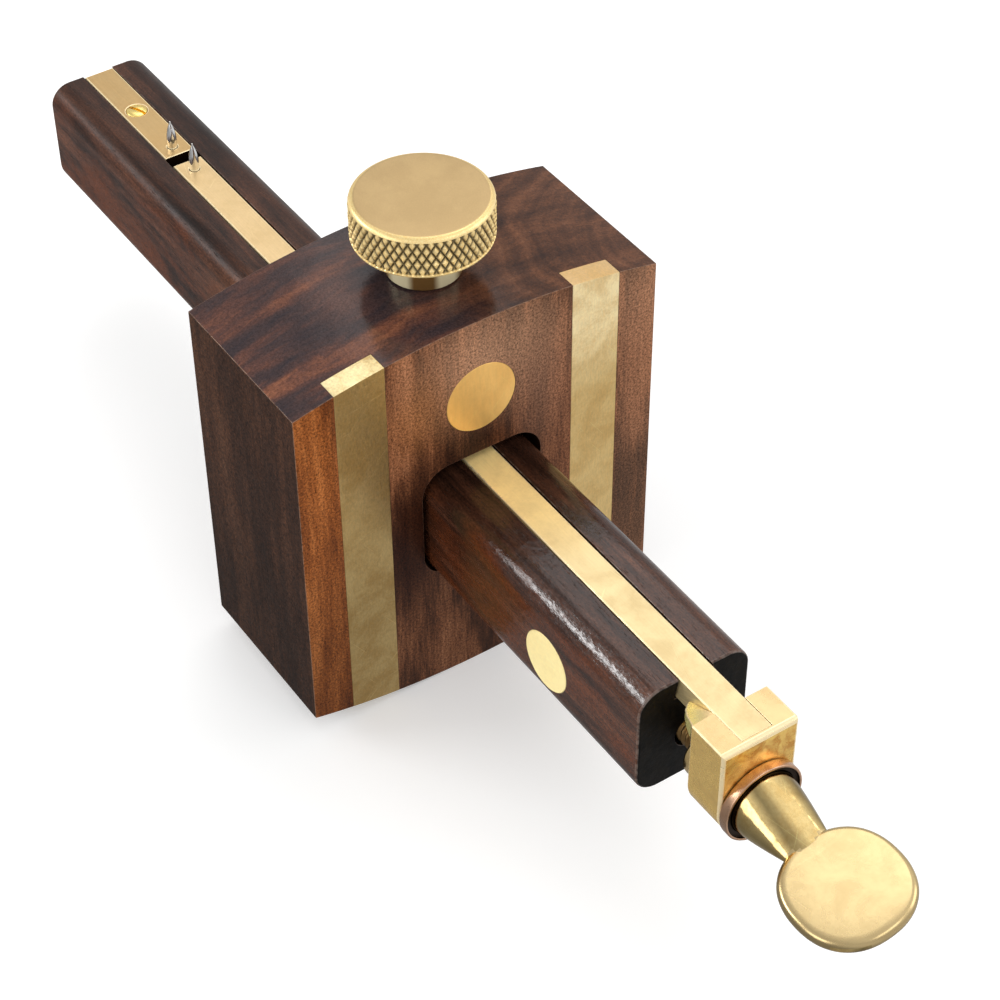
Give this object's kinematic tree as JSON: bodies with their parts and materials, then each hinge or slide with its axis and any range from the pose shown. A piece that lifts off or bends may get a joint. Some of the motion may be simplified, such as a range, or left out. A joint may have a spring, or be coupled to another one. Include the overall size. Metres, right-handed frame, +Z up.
{
  "type": "mortise marking gauge",
  "caption": "Wood and brass mortise gauge: a stock slides on a beam and is locked from above, and a thumb screw spreads the marking pins.",
  "frame": {"origin": "lowest point of the stock's fence face, on the bench, in the middle plane of the beam", "axes": "+X along the beam out of the fence face towards the thumb screw, +Y across the beam, +Z up towards the lock screw's head"},
  "size_m": [0.2178, 0.0624, 0.0818],
  "materials": {
    "rosewood": "polished dark rosewood",
    "beam_wood": "varnished, almost black rosewood",
    "brass_strip": "worn satin with fine scratches",
    "brass_slide": "brushed along its length",
    "brass_fitting": "satin",
    "brass_screw": "polished, softly worn",
    "steel_pin": "polished hardened steel"
  },
  "bodies": {
    "stock": {"stock": "rosewood", "wear_strip_left": "brass_strip", "wear_strip_right": "brass_strip", "lock_nut": "brass_fitting"},
    "pad": {"lock_pad": "brass_fitting"},
    "lock_screw": {"lock_screw": "brass_screw"},
    "beam": {"beam": "beam_wood", "fixed_plate": "brass_slide", "plate_screw": "brass_fitting", "fixed_pin": "steel_pin", "adjusting_nut": "brass_fitting"},
    "slide": {"slide_bar": "brass_slide", "slide_block": "brass_screw", "moving_pin": "steel_pin"},
    "thumb_screw": {"adjusting_screw": "brass_screw", "thrust_washer": "brass_screw", "retaining_collar": "brass_screw", "collar_pin": "steel_pin"}
  },
  "joints": [
    {"name": "beam_slide", "type": "slide", "parent": "stock", "child": "beam", "axis": [1, 0, 0], "range_m": [-0.052, 0.036]},
    {"name": "pad_lift", "type": "slide", "parent": "stock", "child": "pad", "axis": [0, 0, 1], "range_m": [0, 0.00187]},
    {"name": "lock_turn", "type": "hinge", "parent": "pad", "child": "lock_screw", "pos_m": [-0.0147, 0, 0.06], "axis": [0, 0, 1], "range_deg": [0, 540.01]},
    {"name": "pin_slide", "type": "slide", "parent": "beam", "child": "slide", "axis": [1, 0, 0], "range_m": [-0.0023, 0.02]},
    {"name": "thumb_turn", "type": "hinge", "parent": "slide", "child": "thumb_screw", "pos_m": [0.0633, 0, 0.0305], "axis": [1, 0, 0], "range_deg": [-828.01, 7200.01]}
  ],
  "couplings": [
    {"joint": "lock_turn", "follows": "pad_lift", "rad_per_m": 5026.5},
    {"joint": "thumb_turn", "follows": "pin_slide", "rad_per_m": 6283.2}
  ]
}
